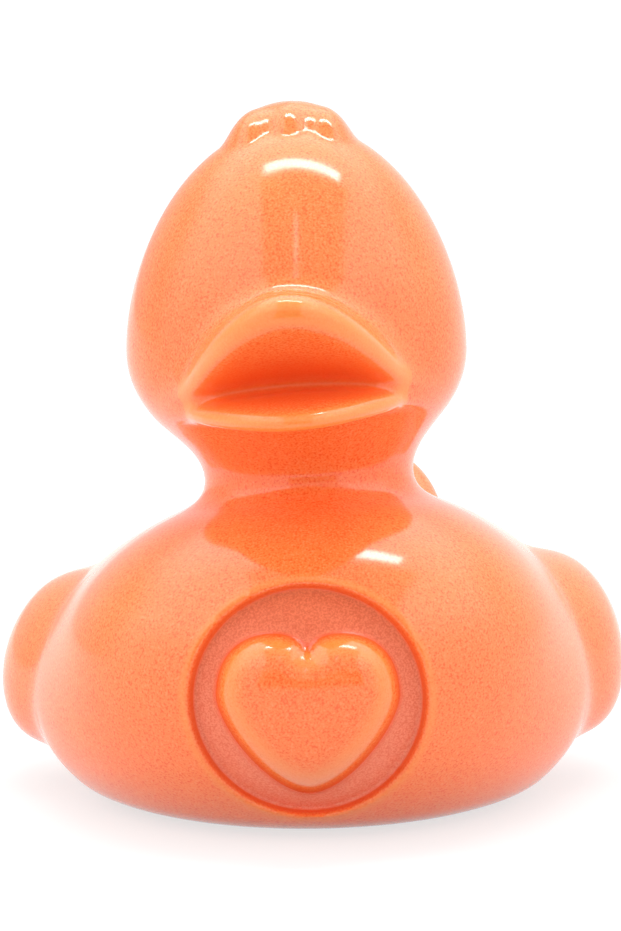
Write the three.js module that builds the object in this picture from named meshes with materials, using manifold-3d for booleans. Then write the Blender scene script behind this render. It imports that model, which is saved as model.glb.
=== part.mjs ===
// Rubber duck: a bath toy slush-moulded in soft vinyl as one hollow skin.
// It stands on +Z up and faces -Y, with the origin at the middle of its footprint, in millimetres.
// The form is sculpted as clay is: eggs and pads flow into each other with a stated blend radius,
// and the skin is then faceted to a chord tolerance, finer where it curves more.
import * as THREE from "three";
import { mergeVertices } from "three/addons/utils/BufferGeometryUtils.js";
import Module from "manifold-3d";

// Driving dimensions, in millimetres and degrees.
const WALL = 2.2;
const AIR_HOLE_DIAMETER = 5;
const AIR_HOLE_SIDES = 24;

const BODY_HALF_WIDTH = 34;
const BODY_HALF_LENGTH = 31.5;
const BODY_CENTRE_Y = 2;
const BODY_EQUATOR_Z = 13;
const BODY_RISE = 24.6;
const BODY_DROP = 19.6;
const BODY_SKEW = 0.05;
const BASE_EDGE_RADIUS = 2.8;

const BREAST_HALF_WIDTH = 26;
const BREAST_DEPTH = 21;
const BREAST_HALF_HEIGHT = 17.5;
const BREAST_REACH = 7.5;
const BREAST_LIFT = 8.5;
const BREAST_BLEND = 10;

const NECK_HALF_WIDTH = 10;
const NECK_HALF_HEIGHT = 9;
const NECK_LEAD = 6.5;
const NECK_LIFT = 3.4;
const NECK_BLEND = 7;

const HEAD_HALF_WIDTH = 20.3;
const HEAD_HALF_DEPTH = 20.5;
const HEAD_RISE = 27;
const HEAD_DROP = 14.5;
const HEAD_TAPER = 0.045;
const HEAD_TAPER_RISE = 14;
const HEAD_LEAD = 1;
const HEAD_SINK = 0.3;
const HEAD_X = -1.35;

const BILL_HALF_WIDTH = 14.2;
const BILL_REACH = 12.5;
const BILL_ROOT_DEPTH = 2;
const BILL_ROOF_LIFT = 9.2;
const BILL_ROOF_RAKE = 0.1;
const BILL_ROOF_FALL = 11;
const BILL_UNDER_DROP = 5.7;
const BILL_LIP_RADIUS = 4;
const BILL_BLEND = 2.5;
const BILL_ROLL = 3.8;
const MOUTH_DROP = 2;
const MOUTH_ARCH = 1.5;
const MOUTH_DEPTH = 2;
const MOUTH_UPPER_ANGLE = 31.5;
const MOUTH_LOWER_ANGLE = 5;
const MOUTH_RADIUS = 1.8;
const MOUTH_LIP_RADIUS = 3;

const TUFT_LOCKS = 3;
const TUFT_LOCK_HALF_WIDTH = 4.2;
const TUFT_LOCK_HALF_LENGTH = 8;
const TUFT_LOCK_HEIGHT = 2.6;
const TUFT_LOCK_FLARE = 0.4;
const TUFT_LOCK_BLEND = 2.4;
const TUFT_PITCH = 3.8;
const TUFT_FAN = 10;
const TUFT_X = -0.6;
const TUFT_SETBACK = 2.5;
const TUFT_SIDE_DROP = 0.3;
const TUFT_BLEND = 0.8;

const WING_HALF_LENGTH = 15;
const WING_HALF_HEIGHT = 10.6;
const WING_TAPER = 0.25;
const WING_STANDOUT = 3.7;
const WING_THICKNESS = 8;
const WING_SETBACK = 12;
const WING_LIFT = 3.3;
const WING_TILT = 8;
const WING_TOE_IN = 9;
const WING_LEAN = 20;
const WING_SKEW = 0.1;
const WING_BLEND = 4;
const FEATHERS = 3;
const FEATHER_PITCH = 5.6;
const FEATHER_FAN = 14;
const FEATHER_GROOVE_DEPTH = 0.9;
const FEATHER_GROOVE_HALF_WIDTH = 1.1;

const TAIL_HALF_WIDTH = 14;
const TAIL_X = 2.4;
const TAIL_HALF_LENGTH = 15;
const TAIL_HALF_THICKNESS = 5.5;
const TAIL_SINK = 4.5;
const TAIL_HEIGHT = 15;
const TAIL_LIFT = 38;
const TAIL_BLEND = 9;

const DISC_RADIUS = 13.5;
const DISC_ASPECT = 0.955;
const DISC_DEPTH = 1.5;
const DISC_FALL = 2.4;
const DISC_TILT = 13;
const DISC_EDGE = 0.75;
const HEART_MARGIN = 2.8;
const HEART_ASPECT = 0.9;
const HEART_CLEFT = 1.8;
const HEART_CURVE_STEPS = 14;
const HEART_WIDEST = 0.2;
const HEART_LOBE_INSIDE = [0.15, 1.1];
const HEART_LOBE_OUTSIDE = [1, 1.15];
const HEART_FLANK = [0.95, -0.25];
const HEART_POINT = [0.4, -1];
const HEART_RISE = 3.2;
const HEART_ROUND = 5;
const HEART_SWELL = 2.5;
const HEART_FILLET = 0.6;
const HEART_DROP = 1.7;

// How finely the skin is faceted.
const COARSE_CELL = 4.2;
const FINE_CELL = 2;
const CHORD_TOLERANCE = 0.2;
const RELIEF_TOLERANCE = 0.035;
const TUFT_TOLERANCE = 0.08;
const SHORTEST_EDGE = 0.5;
const LONG_EDGE_RATIO = 1.4;
const FLIP_GAIN = 0.015;
const FLIP_ANGLE_GAIN = 0.01;
const FOLD_LIMIT = 0.3;
const HOLLOW_CELL = 5.5;
const HOLLOW_TOLERANCE = 0.5;
const SLOPE_STEP = 0.02;
const BEND_PROBE = 0.5;
const SIDE_NUDGE = 1e-3;
const SETTLE_STEPS = 8;
const ON_SURFACE = 1e-6;
const LEAST_SLOPE = 0.1;
const LEAST_BEND = 1e-6;
const MERGE_DISTANCE = 1e-4;

// Places that follow from those sizes: each form is set against the one that carries it.
const BREAST_FRONT_Y = BODY_CENTRE_Y - BODY_HALF_LENGTH - BREAST_REACH;
const BREAST_Z = BODY_EQUATOR_Z + BREAST_LIFT;
const NECK_Y = BODY_CENTRE_Y - NECK_LEAD;
const NECK_Z = BODY_EQUATOR_Z + BODY_RISE + NECK_LIFT;
const HEAD_Y = NECK_Y - HEAD_LEAD;
const HEAD_Z = NECK_Z + HEAD_DROP - HEAD_SINK;
const FACE_Y = HEAD_Y - HEAD_HALF_DEPTH;
const BILL_TIP_Y = FACE_Y - BILL_REACH;
const BILL_ROOT_Y = FACE_Y + BILL_ROOT_DEPTH;
const BILL_ROOF_Z = HEAD_Z + BILL_ROOF_LIFT;
const BILL_UNDER_Z = HEAD_Z - BILL_UNDER_DROP;
const MOUTH_CREASE_Z = HEAD_Z - MOUTH_DROP;
const TUFT_Y = HEAD_Y + TUFT_SETBACK;
const WING_OUT_X = BODY_HALF_WIDTH + WING_STANDOUT;
const WING_Y = BODY_CENTRE_Y + WING_SETBACK;
const WING_Z = BODY_EQUATOR_Z + WING_LIFT;
const TAIL_Y = BODY_CENTRE_Y + BODY_HALF_LENGTH - TAIL_SINK;
const TAIL_Z = BODY_EQUATOR_Z + TAIL_HEIGHT;
const DISC_Z = BREAST_Z - DISC_FALL;
const HEART_WIDTH = 2 * (DISC_RADIUS - HEART_MARGIN);
const HEART_HEIGHT = HEART_ASPECT * HEART_WIDTH;

// Blends of two signed distances, negative inside, each with a fillet of about the given radius.
function join(a, b, blend) {
  const near = Math.max(blend - Math.abs(a - b), 0) / blend;
  return Math.min(a, b) - (near * near * blend) / 4;
}

function cut(a, b, blend) {
  return -join(-a, b, blend);
}

function meet(a, b, blend) {
  return -join(-a, -b, blend);
}

// Nearly the distance to an ellipsoid about the origin.
function ellipsoid(x, y, z, rx, ry, rz) {
  const px = x / rx;
  const py = y / ry;
  const pz = z / rz;
  const level = Math.hypot(px, py, pz);
  const slope = Math.hypot(px / rx, py / ry, pz / rz);
  return slope > 0 ? (level * (level - 1)) / slope : -Math.min(rx, ry, rz);
}

const radians = THREE.MathUtils.degToRad;

// A point's two coordinates turned by an angle about a pivot.
function turn(u, v, pivotU, pivotV, degrees) {
  const c = Math.cos(radians(degrees));
  const s = Math.sin(radians(degrees));
  const du = u - pivotU;
  const dv = v - pivotV;
  return [pivotU + c * du - s * dv, pivotV + s * du + c * dv];
}

function smoothStep(edge, half) {
  return THREE.MathUtils.smoothstep(edge, -half, half);
}

// Body, breast and neck.
function torso(x, y, z) {
  const dz = z - BODY_EQUATOR_Z;
  const dy = y - BODY_CENTRE_Y;
  const hull = ellipsoid(x, dy, dz, BODY_HALF_WIDTH, BODY_HALF_LENGTH, dz > 0 ? BODY_RISE : BODY_DROP);
  const breastY = y - BREAST_FRONT_Y - BREAST_DEPTH;
  const breast = ellipsoid(x, breastY, z - BREAST_Z, BREAST_HALF_WIDTH, BREAST_DEPTH, BREAST_HALF_HEIGHT);
  const neck = ellipsoid(x, y - NECK_Y, z - NECK_Z, NECK_HALF_WIDTH, NECK_HALF_WIDTH, NECK_HALF_HEIGHT);
  return join(join(hull, breast, BREAST_BLEND), neck, NECK_BLEND);
}

// A broad rounded paddle that turns up behind.
function tail(x, y, z) {
  const [ty, tz] = turn(y, z, TAIL_Y, TAIL_Z, -TAIL_LIFT);
  const tx = x - TAIL_X;
  return ellipsoid(tx, ty - TAIL_Y, tz - TAIL_Z, TAIL_HALF_WIDTH, TAIL_HALF_LENGTH, TAIL_HALF_THICKNESS);
}

// Grooves that part the rear of a wing into feathers, deeper towards its edge.
function featherGrooves(along, up) {
  const rear = THREE.MathUtils.smoothstep(along, 0, WING_HALF_LENGTH);
  let depth = 0;
  for (let groove = 1; groove < FEATHERS; groove++) {
    const place = groove - FEATHERS / 2;
    const height = place * FEATHER_PITCH;
    const [, line] = turn(along, up, 0, height, -place * FEATHER_FAN);
    const off = (line - height) / FEATHER_GROOVE_HALF_WIDTH;
    depth += FEATHER_GROOVE_DEPTH * rear * Math.exp(-off * off);
  }
  return depth;
}

// A raised pad on each flank, tilted up, leaning in and narrower behind, where it parts into feathers.
function wing(x, y, z) {
  const [wy, wz] = turn(y, z - Math.sign(x) * WING_SKEW, WING_Y, WING_Z, -WING_TILT);
  const [level, along] = turn(Math.abs(x) - WING_OUT_X + WING_THICKNESS, wy - WING_Y, 0, 0, -WING_TOE_IN);
  const [out, up] = turn(level, wz - WING_Z, 0, 0, -WING_LEAN);
  const taper = WING_TAPER * THREE.MathUtils.clamp(along / WING_HALF_LENGTH, -1, 1);
  const halfHeight = WING_HALF_HEIGHT * (1 - taper);
  const pad = ellipsoid(out, along, up, WING_THICKNESS, WING_HALF_LENGTH, halfHeight);
  return pad + featherGrooves(along, up);
}

// The head: an egg with full cheeks that draws in above them.
function skull(x, y, z) {
  const dz = z - HEAD_Z;
  if (dz < 0) return ellipsoid(x, y - HEAD_Y, dz, HEAD_HALF_WIDTH, HEAD_HALF_DEPTH, HEAD_DROP);
  const draw = 1 - (HEAD_TAPER * dz * dz) / (dz * dz + HEAD_TAPER_RISE * HEAD_TAPER_RISE);
  return ellipsoid(x, y - HEAD_Y, dz, draw * HEAD_HALF_WIDTH, draw * HEAD_HALF_DEPTH, HEAD_RISE);
}

// The open bill: an arched lump with a wedge-shaped mouth cut from its front.
function bill(x, y, z) {
  const across = x / BILL_HALF_WIDTH;
  const tip = BILL_TIP_Y + (BILL_ROOT_Y - BILL_TIP_Y) * across * across;
  const plan = (tip - y) / Math.hypot(1, (2 * (BILL_ROOT_Y - BILL_TIP_Y) * across) / BILL_HALF_WIDTH);
  const roofZ = BILL_ROOF_Z + BILL_ROOF_RAKE * (FACE_Y - y) - BILL_ROOF_FALL * across * across;
  const roof = (z - roofZ) / Math.hypot(1, (2 * BILL_ROOF_FALL * across) / BILL_HALF_WIDTH);
  const under = BILL_UNDER_Z - z;
  const lump = meet(meet(plan, roof, BILL_LIP_RADIUS), under, BILL_LIP_RADIUS);
  const back = y - HEAD_Y;
  return Math.max(lump, back);
}

function mouth(x, y, z) {
  const across = x / BILL_HALF_WIDTH;
  const forward = FACE_Y + MOUTH_DEPTH - y;
  const above = z - MOUTH_CREASE_Z + MOUTH_ARCH * across * across;
  const upper = radians(MOUTH_UPPER_ANGLE);
  const lower = radians(MOUTH_LOWER_ANGLE);
  const palate = above * Math.cos(upper) - forward * Math.sin(upper);
  const tongue = -above * Math.cos(lower) - forward * Math.sin(lower);
  return meet(palate, tongue, MOUTH_RADIUS);
}

// How high the locks of down on the crown stand above the dome: side by side, fanned a little,
// with blunt front ends and broader behind.
function tuft(x, y, z) {
  if (z < HEAD_Z) return 0;
  let height = -Infinity;
  for (let lock = 0; lock < TUFT_LOCKS; lock++) {
    const place = lock - (TUFT_LOCKS - 1) / 2;
    const lockX = TUFT_X + place * TUFT_PITCH;
    const [lx, ly] = turn(x, y, lockX, TUFT_Y, -place * TUFT_FAN);
    const along = (ly - TUFT_Y) / TUFT_LOCK_HALF_LENGTH;
    const flare = 1 + TUFT_LOCK_FLARE * THREE.MathUtils.clamp(along, -1, 1);
    const across = (lx - lockX) / (flare * TUFT_LOCK_HALF_WIDTH);
    const peak = TUFT_LOCK_HEIGHT - Math.abs(place) * TUFT_SIDE_DROP;
    height = -join(-height, -peak * (1 - across ** 2 - along ** 4), TUFT_LOCK_BLEND);
  }
  return -join(-height, 0, TUFT_BLEND);
}

// The heart's outline about the middle of its height: two lobes, a cleft and a blunt point.
// Its guide points are shares of the half width and half height.
function heartOutline() {
  const w = HEART_WIDTH / 2;
  const h = HEART_HEIGHT / 2;
  const guide = ([across, up], side) => [side * across * w, up * h];
  const widest = HEART_WIDEST * h;
  const cleft = h - HEART_CLEFT;
  const shape = new THREE.Shape();
  shape.moveTo(0, cleft);
  shape.bezierCurveTo(...guide(HEART_LOBE_INSIDE, 1), ...guide(HEART_LOBE_OUTSIDE, 1), w, widest);
  shape.bezierCurveTo(...guide(HEART_FLANK, 1), ...guide(HEART_POINT, 1), 0, -h);
  shape.bezierCurveTo(...guide(HEART_POINT, -1), ...guide(HEART_FLANK, -1), -w, widest);
  shape.bezierCurveTo(...guide(HEART_LOBE_OUTSIDE, -1), ...guide(HEART_LOBE_INSIDE, -1), 0, cleft);
  return shape.getPoints(HEART_CURVE_STEPS);
}

const HEART = heartOutline();

// Distance in the plane to the heart's outline, negative inside.
function heartDistance(u, v) {
  let nearest = Infinity;
  let inside = false;
  for (let i = 0, j = HEART.length - 1; i < HEART.length; j = i++) {
    const a = HEART[j];
    const b = HEART[i];
    const ex = b.x - a.x;
    const ey = b.y - a.y;
    const t = THREE.MathUtils.clamp(((u - a.x) * ex + (v - a.y) * ey) / (ex * ex + ey * ey || 1), 0, 1);
    nearest = Math.min(nearest, Math.hypot(u - a.x - t * ex, v - a.y - t * ey));
    if (a.y > v !== b.y > v && u < a.x + ((v - a.y) / ey) * ex) inside = !inside;
  }
  return inside ? -nearest : nearest;
}

// A point of the chest in the plane of the round recess: sideways and up from its centre.
function onDisc(x, y, z) {
  const [, v] = turn(y, z, BREAST_FRONT_Y, DISC_Z, DISC_TILT);
  return [x, (v - DISC_Z) / DISC_ASPECT];
}

// How far the round floor of the recess lies below the chest at a point.
function recess(x, y, z, edge) {
  if (y > HEAD_Y) return 0;
  const [u, v] = onDisc(x, y, z);
  return DISC_DEPTH * smoothStep(DISC_RADIUS - Math.hypot(u, v), edge);
}

// How far the pillowed heart stands up from that floor, with its outline drawn in by an inset.
function heart(x, y, z, inset) {
  const [u, v] = onDisc(x, y, z);
  if (y > HEAD_Y || Math.hypot(u, v) > DISC_RADIUS) return 0;
  const depth = -join(heartDistance(u, v + HEART_DROP) + inset, 0, HEART_FILLET);
  return HEART_RISE * (1 - Math.max(1 - depth / HEART_ROUND, 0) ** HEART_SWELL);
}

// The plain rounded forms that the hollow inside follows as well.
function plainForm(x, y, z, chestDrop) {
  const bz = z - (BODY_SKEW * x * z) / NECK_Z;
  let d = join(torso(x, y, bz), tail(x, y, bz), TAIL_BLEND);
  d += chestDrop;
  d = join(d, skull(x - HEAD_X, y, z), NECK_BLEND);
  return join(d, wing(x, y, bz), WING_BLEND);
}

// The outside of the whole duck, negative inside.
function duck(x, y, z) {
  const [hx, hz] = turn(x - HEAD_X, z, 0, MOUTH_CREASE_Z, -BILL_ROLL);
  let d = plainForm(x, y, z, recess(x, y, z, DISC_EDGE) - heart(x, y, z, 0));
  d = join(d, bill(hx, y, hz), BILL_BLEND);
  d = cut(d, mouth(hx, y, hz), MOUTH_LIP_RADIUS);
  d -= tuft(x - HEAD_X, y, z);
  return meet(d, -z, BASE_EDGE_RADIUS);
}

// The hollow, one wall thickness inside, with that wall kept behind the recess and the heart.
function hollow(x, y, z) {
  const d = plainForm(x, y, z, recess(x, y, z, WALL) - heart(x, y, z, WALL)) + WALL;
  return meet(d, WALL - z, BASE_EDGE_RADIUS);
}

// Grid lines along one axis, through stretches that each have their own spacing.
function gridLines(stretches) {
  const lines = [];
  for (const [low, high, cell] of stretches) {
    const count = Math.ceil((high - low) / cell);
    for (let i = 0; i < count; i++) lines.push(low + ((high - low) * i) / count);
  }
  lines.push(stretches.at(-1)[1]);
  return lines;
}

const AXES = [
  [1, 0, 0],
  [0, 1, 0],
  [0, 0, 1],
];

// A field's values on a grid. A cell whose corners change sign across a diagonal would pinch the surface,
// so the corner nearest to zero there changes side until none is left.
function sample(field, xs, ys, zs) {
  const size = [xs.length, ys.length, zs.length];
  const at = (i, j, k) => i + size[0] * (j + size[1] * k);
  const value = new Float64Array(size[0] * size[1] * size[2]);
  for (let k = 0; k < size[2]; k++)
    for (let j = 0; j < size[1]; j++)
      for (let i = 0; i < size[0]; i++) value[at(i, j, k)] = field(xs[i], ys[j], zs[k]);
  let pinched = true;
  while (pinched) {
    pinched = false;
    for (let k = 1; k < size[2]; k++)
      for (let j = 1; j < size[1]; j++)
        for (let i = 1; i < size[0]; i++)
          for (let axis = 0; axis < 3; axis++) {
            const [ux, uy, uz] = AXES[(axis + 1) % 3];
            const [vx, vy, vz] = AXES[(axis + 2) % 3];
            const face = [
              at(i, j, k),
              at(i - ux, j - uy, k - uz),
              at(i - ux - vx, j - uy - vy, k - uz - vz),
              at(i - vx, j - vy, k - vz),
            ];
            const [a, b, c, d] = face.map((corner) => value[corner] < 0);
            if (a !== c || b !== d || a === b) continue;
            face.sort((p, q) => Math.abs(value[p]) - Math.abs(value[q]));
            value[face[0]] = value[face[0]] < 0 ? SIDE_NUDGE : -SIDE_NUDGE;
            pinched = true;
          }
  }
  return { value, at, size };
}

// Where a field changes sign on a grid, as a triangle mesh with one vertex in each crossed cell.
function surfaceNet(field, xs, ys, zs) {
  const { value, at, size } = sample(field, xs, ys, zs);
  const vertexOf = new Map();
  const positions = [];
  for (let k = 0; k < size[2] - 1; k++)
    for (let j = 0; j < size[1] - 1; j++)
      for (let i = 0; i < size[0] - 1; i++) {
        const sum = new THREE.Vector3();
        let crossings = 0;
        for (let corner = 0; corner < 8; corner++)
          for (let axis = 0; axis < 3; axis++) {
            if (corner & (1 << axis)) continue;
            const a = [i + (corner & 1), j + ((corner >> 1) & 1), k + (corner >> 2)];
            const b = a.map((line, n) => line + AXES[axis][n]);
            const va = value[at(...a)];
            const vb = value[at(...b)];
            if (va < 0 === vb < 0) continue;
            const start = new THREE.Vector3(xs[a[0]], ys[a[1]], zs[a[2]]);
            const end = new THREE.Vector3(xs[b[0]], ys[b[1]], zs[b[2]]);
            sum.add(start.lerp(end, va / (va - vb)));
            crossings++;
          }
        if (!crossings) continue;
        vertexOf.set(at(i, j, k), positions.length);
        positions.push(sum.divideScalar(crossings));
      }
  const triangles = [];
  for (let k = 1; k < size[2] - 1; k++)
    for (let j = 1; j < size[1] - 1; j++)
      for (let i = 1; i < size[0] - 1; i++)
        for (let axis = 0; axis < 3; axis++) {
          const inside = value[at(i, j, k)] < 0;
          const [sx, sy, sz] = AXES[axis];
          if (inside === value[at(i + sx, j + sy, k + sz)] < 0) continue;
          const [ux, uy, uz] = AXES[(axis + 1) % 3];
          const [vx, vy, vz] = AXES[(axis + 2) % 3];
          const ring = [
            vertexOf.get(at(i - ux - vx, j - uy - vy, k - uz - vz)),
            vertexOf.get(at(i - vx, j - vy, k - vz)),
            vertexOf.get(at(i, j, k)),
            vertexOf.get(at(i - ux, j - uy, k - uz)),
          ];
          const [a, b, c, d] = inside ? ring : ring.reverse();
          triangles.push([a, b, c], [a, c, d]);
        }
  return { positions, triangles };
}

// The field's slope at a point, which points out of the solid.
function slopeAt(field, p) {
  const h = SLOPE_STEP;
  return new THREE.Vector3(
    field(p.x + h, p.y, p.z) - field(p.x - h, p.y, p.z),
    field(p.x, p.y + h, p.z) - field(p.x, p.y - h, p.z),
    field(p.x, p.y, p.z + h) - field(p.x, p.y, p.z - h),
  ).divideScalar(2 * h);
}

// Slides a point along the field's slope until it lies on the surface.
function settle(field, p) {
  for (let step = 0; step < SETTLE_STEPS; step++) {
    const f = field(p.x, p.y, p.z);
    if (Math.abs(f) < ON_SURFACE) break;
    const slope = slopeAt(field, p);
    p.addScaledVector(slope, -f / Math.max(slope.lengthSq(), LEAST_SLOPE));
  }
  return p;
}

// The edge length that keeps a facet within the tolerance, from how fast the surface turns there.
function edgeLength(field, p, { tolerance, shortest, longest }) {
  const normal = slopeAt(field, p).normalize();
  const along = new THREE.Vector3(normal.y, normal.z, -normal.x).cross(normal).normalize();
  let bend = 0;
  for (let quarter = 0; quarter < 4; quarter++) {
    const side = along.clone().applyAxisAngle(normal, (quarter * Math.PI) / 4);
    const ahead = slopeAt(field, p.clone().addScaledVector(side, BEND_PROBE)).normalize();
    const behind = slopeAt(field, p.clone().addScaledVector(side, -BEND_PROBE)).normalize();
    bend = Math.max(bend, ahead.sub(behind).length() / (2 * BEND_PROBE));
  }
  const wanted = Math.sqrt((8 * tolerance(p)) / Math.max(bend, LEAST_BEND));
  return THREE.MathUtils.clamp(wanted, shortest, longest);
}

const edgeKey = (a, b) => (a < b ? a * 1e6 + b : b * 1e6 + a);

// Splits each edge that is too long for the surface's bend at its middle.
function split(field, { positions, triangles }, limits) {
  const middle = new Map();
  for (const t of triangles)
    for (let e = 0; e < 3; e++) {
      const a = t[e];
      const b = t[(e + 1) % 3];
      if (middle.has(edgeKey(a, b))) continue;
      const chord = positions[a].clone().lerp(positions[b], 0.5);
      const length = positions[a].distanceTo(positions[b]);
      const wanted = LONG_EDGE_RATIO * edgeLength(field, settle(field, chord), limits);
      const long = length > Math.max(limits.shortest, wanted);
      middle.set(edgeKey(a, b), long ? positions.push(chord) - 1 : -1);
    }
  const finer = [];
  for (const corner of triangles) {
    const half = corner.map((a, e) => middle.get(edgeKey(a, corner[(e + 1) % 3])));
    const splits = half.filter((m) => m >= 0).length;
    const first = half.findIndex((m) => (splits === 2 ? m < 0 : m >= 0));
    const [a, b, c] = [0, 1, 2].map((e) => corner[(Math.max(first, 0) + e) % 3]);
    const [ab, bc, ca] = [0, 1, 2].map((e) => half[(Math.max(first, 0) + e) % 3]);
    if (splits === 0) finer.push(corner);
    if (splits === 1) finer.push([a, ab, c], [ab, b, c]);
    if (splits === 2) finer.push([c, ca, bc], [a, b, bc], [a, bc, ca]);
    if (splits === 3) finer.push([a, ab, ca], [b, bc, ab], [c, ca, bc], [ab, bc, ca]);
  }
  return { positions, triangles: finer };
}

// Turns an edge across its two triangles where that brings it nearer to the surface or widens their angles.
function flip(field, { positions, triangles }) {
  const sides = new Map();
  triangles.forEach((t, n) =>
    t.forEach((a, e) => {
      const id = edgeKey(a, t[(e + 1) % 3]);
      if (!sides.has(id)) sides.set(id, []);
      sides.get(id).push(n);
    }),
  );
  const side = (from, to) => positions[to].clone().sub(positions[from]);
  const angle = (tip, a, b) => side(tip, a).angleTo(side(tip, b));
  const normal = (a, b, c) => side(a, b).cross(side(a, c)).normalize();
  const standoff = (a, b) => {
    const middle = positions[a].clone().lerp(positions[b], 0.5);
    return Math.abs(field(middle.x, middle.y, middle.z));
  };
  const changed = new Set();
  for (const [m, n] of sides.values()) {
    if (changed.has(m) || changed.has(n)) continue;
    const c = triangles[m].find((v) => !triangles[n].includes(v));
    const d = triangles[n].find((v) => !triangles[m].includes(v));
    const at = triangles[m].indexOf(c);
    const a = triangles[m][(at + 1) % 3];
    const b = triangles[m][(at + 2) % 3];
    if (sides.has(edgeKey(c, d)) || side(c, d).length() > 2 * side(a, b).length()) continue;
    const gain = standoff(a, b) - standoff(c, d);
    if (gain < -FLIP_GAIN) continue;
    if (gain < FLIP_GAIN && angle(c, a, b) + angle(d, a, b) < Math.PI + FLIP_ANGLE_GAIN) continue;
    const facing = normal(c, a, b).add(normal(d, b, a)).normalize();
    if (Math.min(normal(c, a, d).dot(facing), normal(c, d, b).dot(facing)) < FOLD_LIMIT) continue;
    triangles[m] = [c, a, d];
    triangles[n] = [c, d, b];
    changed.add(m);
    changed.add(n);
    sides.set(edgeKey(c, d), [m, n]);
  }
  return { positions, triangles };
}

// Evens out the triangles by moving each vertex to the middle of its neighbours, along the surface.
function relax(field, net) {
  const sums = net.positions.map(() => new THREE.Vector3());
  const counts = net.positions.map(() => 0);
  for (const t of net.triangles)
    t.forEach((a, e) => {
      sums[a].add(net.positions[t[(e + 1) % 3]]);
      counts[a]++;
    });
  net.positions.forEach((p, i) => settle(field, p.lerp(sums[i].divideScalar(counts[i]), 0.5)));
  return net;
}

// The skin of a field: a coarse net that is split where the surface bends, turned and evened out.
function skin(field, grid, limits) {
  let net = surfaceNet(field, ...grid);
  for (let pass = 0; pass < 3; pass++) net = flip(field, relax(field, net));
  for (let pass = 0; pass < limits.passes; pass++) {
    net = flip(field, split(field, net, limits));
    net = flip(field, relax(field, net));
    net = flip(field, relax(field, net));
  }
  return flip(field, net);
}

const wasm = await Module();
wasm.setup();

function solidFromArrays(vertProperties, triVerts) {
  return new wasm.Manifold(new wasm.Mesh({ numProp: 3, vertProperties, triVerts }));
}

function solidFromNet({ positions, triangles }) {
  const vertices = new Float32Array(positions.flatMap((p) => [p.x, p.y, p.z]));
  return solidFromArrays(vertices, new Uint32Array(triangles.flat()));
}

function solidFromGeometry(geometry) {
  const bare = geometry.clone();
  bare.deleteAttribute("normal");
  bare.deleteAttribute("uv");
  const merged = mergeVertices(bare, MERGE_DISTANCE);
  return solidFromArrays(merged.attributes.position.array, new Uint32Array(merged.index.array));
}

function geometryFromSolid(solid) {
  const mesh = solid.getMesh();
  const geometry = new THREE.BufferGeometry();
  geometry.setAttribute("position", new THREE.BufferAttribute(mesh.vertProperties, 3));
  geometry.setIndex(new THREE.BufferAttribute(mesh.triVerts, 1));
  geometry.computeVertexNormals();
  return geometry;
}

// Grid lines over the whole duck, closer together across the bill and its mouth.
const REACH = 2 * COARSE_CELL;
const WIDE = WING_OUT_X + REACH;
const CROWN_Z = HEAD_Z + HEAD_RISE + TUFT_LOCK_HEIGHT;
const STERN_Y = TAIL_Y + TAIL_HALF_LENGTH;
const DUCK_GRID = [
  gridLines([[-WIDE, WIDE, COARSE_CELL]]),
  gridLines([
    [BILL_TIP_Y - REACH, FACE_Y, FINE_CELL],
    [FACE_Y, STERN_Y + REACH, COARSE_CELL],
  ]),
  gridLines([
    [-REACH, BILL_UNDER_Z - FINE_CELL, COARSE_CELL],
    [BILL_UNDER_Z - FINE_CELL, BILL_ROOF_Z + FINE_CELL, FINE_CELL],
    [BILL_ROOF_Z + FINE_CELL, CROWN_Z + REACH, COARSE_CELL],
  ]),
];
const HOLLOW_GRID = [
  gridLines([[-WIDE, WIDE, HOLLOW_CELL]]),
  gridLines([[BREAST_FRONT_Y - REACH, STERN_Y + REACH, HOLLOW_CELL]]),
  gridLines([[-REACH, CROWN_Z + REACH, HOLLOW_CELL]]),
];

// How far a facet may stand off the surface at a point: less on the chest relief and the tuft.
function standoffLimit({ x, y, z }) {
  if (recess(x, y, z, DISC_RADIUS) > 0) return RELIEF_TOLERANCE;
  return tuft(x - HEAD_X, y, z) > 0 ? TUFT_TOLERANCE : CHORD_TOLERANCE;
}

// The moulded vinyl skin: outside less hollow, with the air hole through the flat base.
function duckShell() {
  const outside = skin(duck, DUCK_GRID, {
    tolerance: standoffLimit,
    shortest: SHORTEST_EDGE,
    longest: COARSE_CELL,
    passes: 4,
  });
  const inside = skin(hollow, HOLLOW_GRID, {
    tolerance: () => HOLLOW_TOLERANCE,
    shortest: WALL,
    longest: HOLLOW_CELL,
    passes: 1,
  });
  const holeRadius = AIR_HOLE_DIAMETER / 2;
  const airHole = new THREE.CylinderGeometry(holeRadius, holeRadius, 4 * WALL, AIR_HOLE_SIDES);
  airHole.rotateX(Math.PI / 2).translate(0, BODY_CENTRE_Y, WALL / 2);
  const solid = solidFromNet(outside).subtract(solidFromNet(inside)).subtract(solidFromGeometry(airHole));
  return geometryFromSolid(solid);
}

const vinyl = new THREE.MeshStandardMaterial({ color: 0xf9824f, roughness: 0.25, metalness: 0 });
const shell = new THREE.Mesh(duckShell(), vinyl);
shell.name = "duck_shell";

// The origin is on the ground below the middle of the duck's box.
shell.geometry.computeBoundingBox();
const middle = shell.geometry.boundingBox.getCenter(new THREE.Vector3());
shell.position.set(-middle.x, -middle.y, 0);

const rubberDuck = new THREE.Group();
rubberDuck.add(shell);

export default rubberDuck;
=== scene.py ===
# %% [markdown]
# # A rubber duck in coral vinyl
# The real duck is one hollow skin of soft vinyl: liquid vinyl is slushed round a heated mould, the
# skin sets against its wall, and the rest is poured out. So it has no joints and hardly a hard edge.
# The lesson follows that: one flowing form, meshed finely, then a glossy speckled finish with a matt
# chest recess, and then the light and the camera.

import math

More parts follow.
